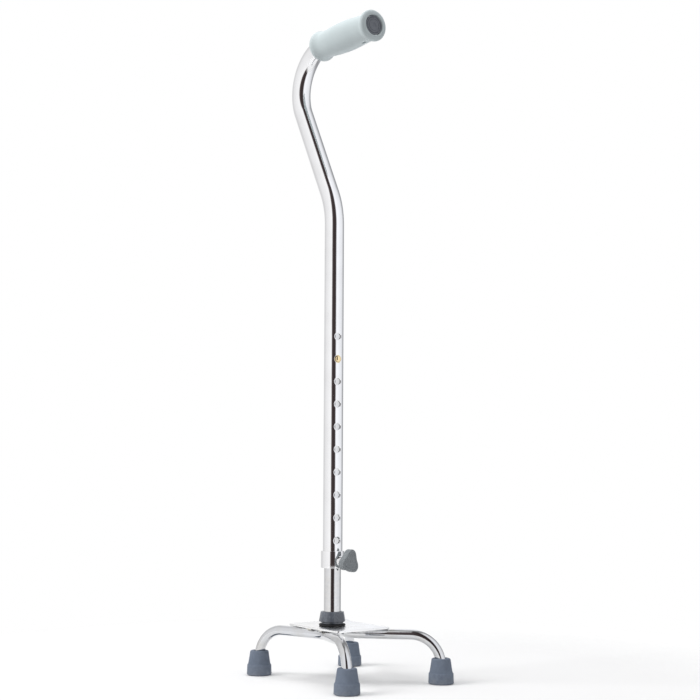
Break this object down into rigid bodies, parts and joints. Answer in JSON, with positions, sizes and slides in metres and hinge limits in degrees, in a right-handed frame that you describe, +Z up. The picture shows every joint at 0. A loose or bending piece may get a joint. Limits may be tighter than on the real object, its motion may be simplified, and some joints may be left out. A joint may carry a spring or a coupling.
{
  "type": "quad walking cane",
  "caption": "Height-adjustable walking cane with an offset neck, a barrel hand grip, a clamp collar with a lobed knob, and a small base of bent tubes on rubber tips.",
  "frame": {"origin": "on the floor, midway between the four feet, at the bottom centre of the bounding box", "axes": "+X the way the hand grip points, +Y away from the user, +Z up along the shaft"},
  "size_m": [0.1972, 0.157, 0.744],
  "materials": {
    "chrome": "bright chrome plate on steel tube and plate",
    "zinc_steel": "zinc-plated steel",
    "spring_steel": "oiled spring steel",
    "brass": "polished brass",
    "grip_plastic": "pale blue-grey moulded plastic, satin",
    "plug_plastic": "dark grey moulded plastic",
    "knob_plastic": "mid grey moulded plastic",
    "glide_plastic": "dark nylon",
    "tip_rubber": "blue-grey moulded rubber",
    "boot_rubber": "dark grey moulded rubber",
    "black_rubber": "black rubber"
  },
  "bodies": {
    "base": {"base_plate": "chrome", "leg_tube_inner": "chrome", "leg_tube_outer": "chrome", "rubber_tip_inner_front": "tip_rubber", "rubber_tip_inner_rear": "tip_rubber", "rubber_tip_outer_front": "tip_rubber", "rubber_tip_outer_rear": "tip_rubber", "tip_disc_inner_front": "zinc_steel", "tip_disc_inner_rear": "zinc_steel", "tip_disc_outer_front": "zinc_steel", "tip_disc_outer_rear": "zinc_steel", "base_boot": "boot_rubber", "boot_washer": "black_rubber", "tube_insert": "zinc_steel", "base_bolt": "zinc_steel", "flat_washer": "zinc_steel", "spring_washer": "spring_steel", "lower_tube": "chrome", "tube_glide": "glide_plastic", "button_spring": "spring_steel"},
    "upper": {"upper_tube": "chrome", "hand_grip": "grip_plastic", "grip_end_plug": "plug_plastic", "lock_collar": "chrome", "clamp_boss": "chrome"},
    "pad": {"clamp_pad": "brass"},
    "knob": {"clamp_screw": "zinc_steel", "clamp_knob": "knob_plastic"},
    "button": {"snap_button": "brass"}
  },
  "joints": [
    {"name": "height_adjust", "type": "slide", "parent": "base", "child": "upper", "axis": [0, 0, 1], "range_m": [-0.0254, 0.2032], "deforming": ["snap_button"]},
    {"name": "screw_travel", "type": "slide", "parent": "upper", "child": "pad", "axis": [0.9781, 0.2079, 0], "range_m": [0, 0.002]},
    {"name": "knob_turn", "type": "hinge", "parent": "pad", "child": "knob", "pos_m": [0, -0.02285, 0.1322], "axis": [0.9781, 0.2079, 0], "range_deg": [0, 720]},
    {"name": "button_press", "type": "slide", "parent": "base", "child": "button", "axis": [-0.9903, 0.1392, 0], "range_m": [0, 0.0042], "stiffness_N_per_m": 2500, "deforming": ["button_spring"]}
  ],
  "couplings": [
    {"joint": "knob_turn", "follows": "screw_travel", "rad_per_m": 6283.2}
  ]
}
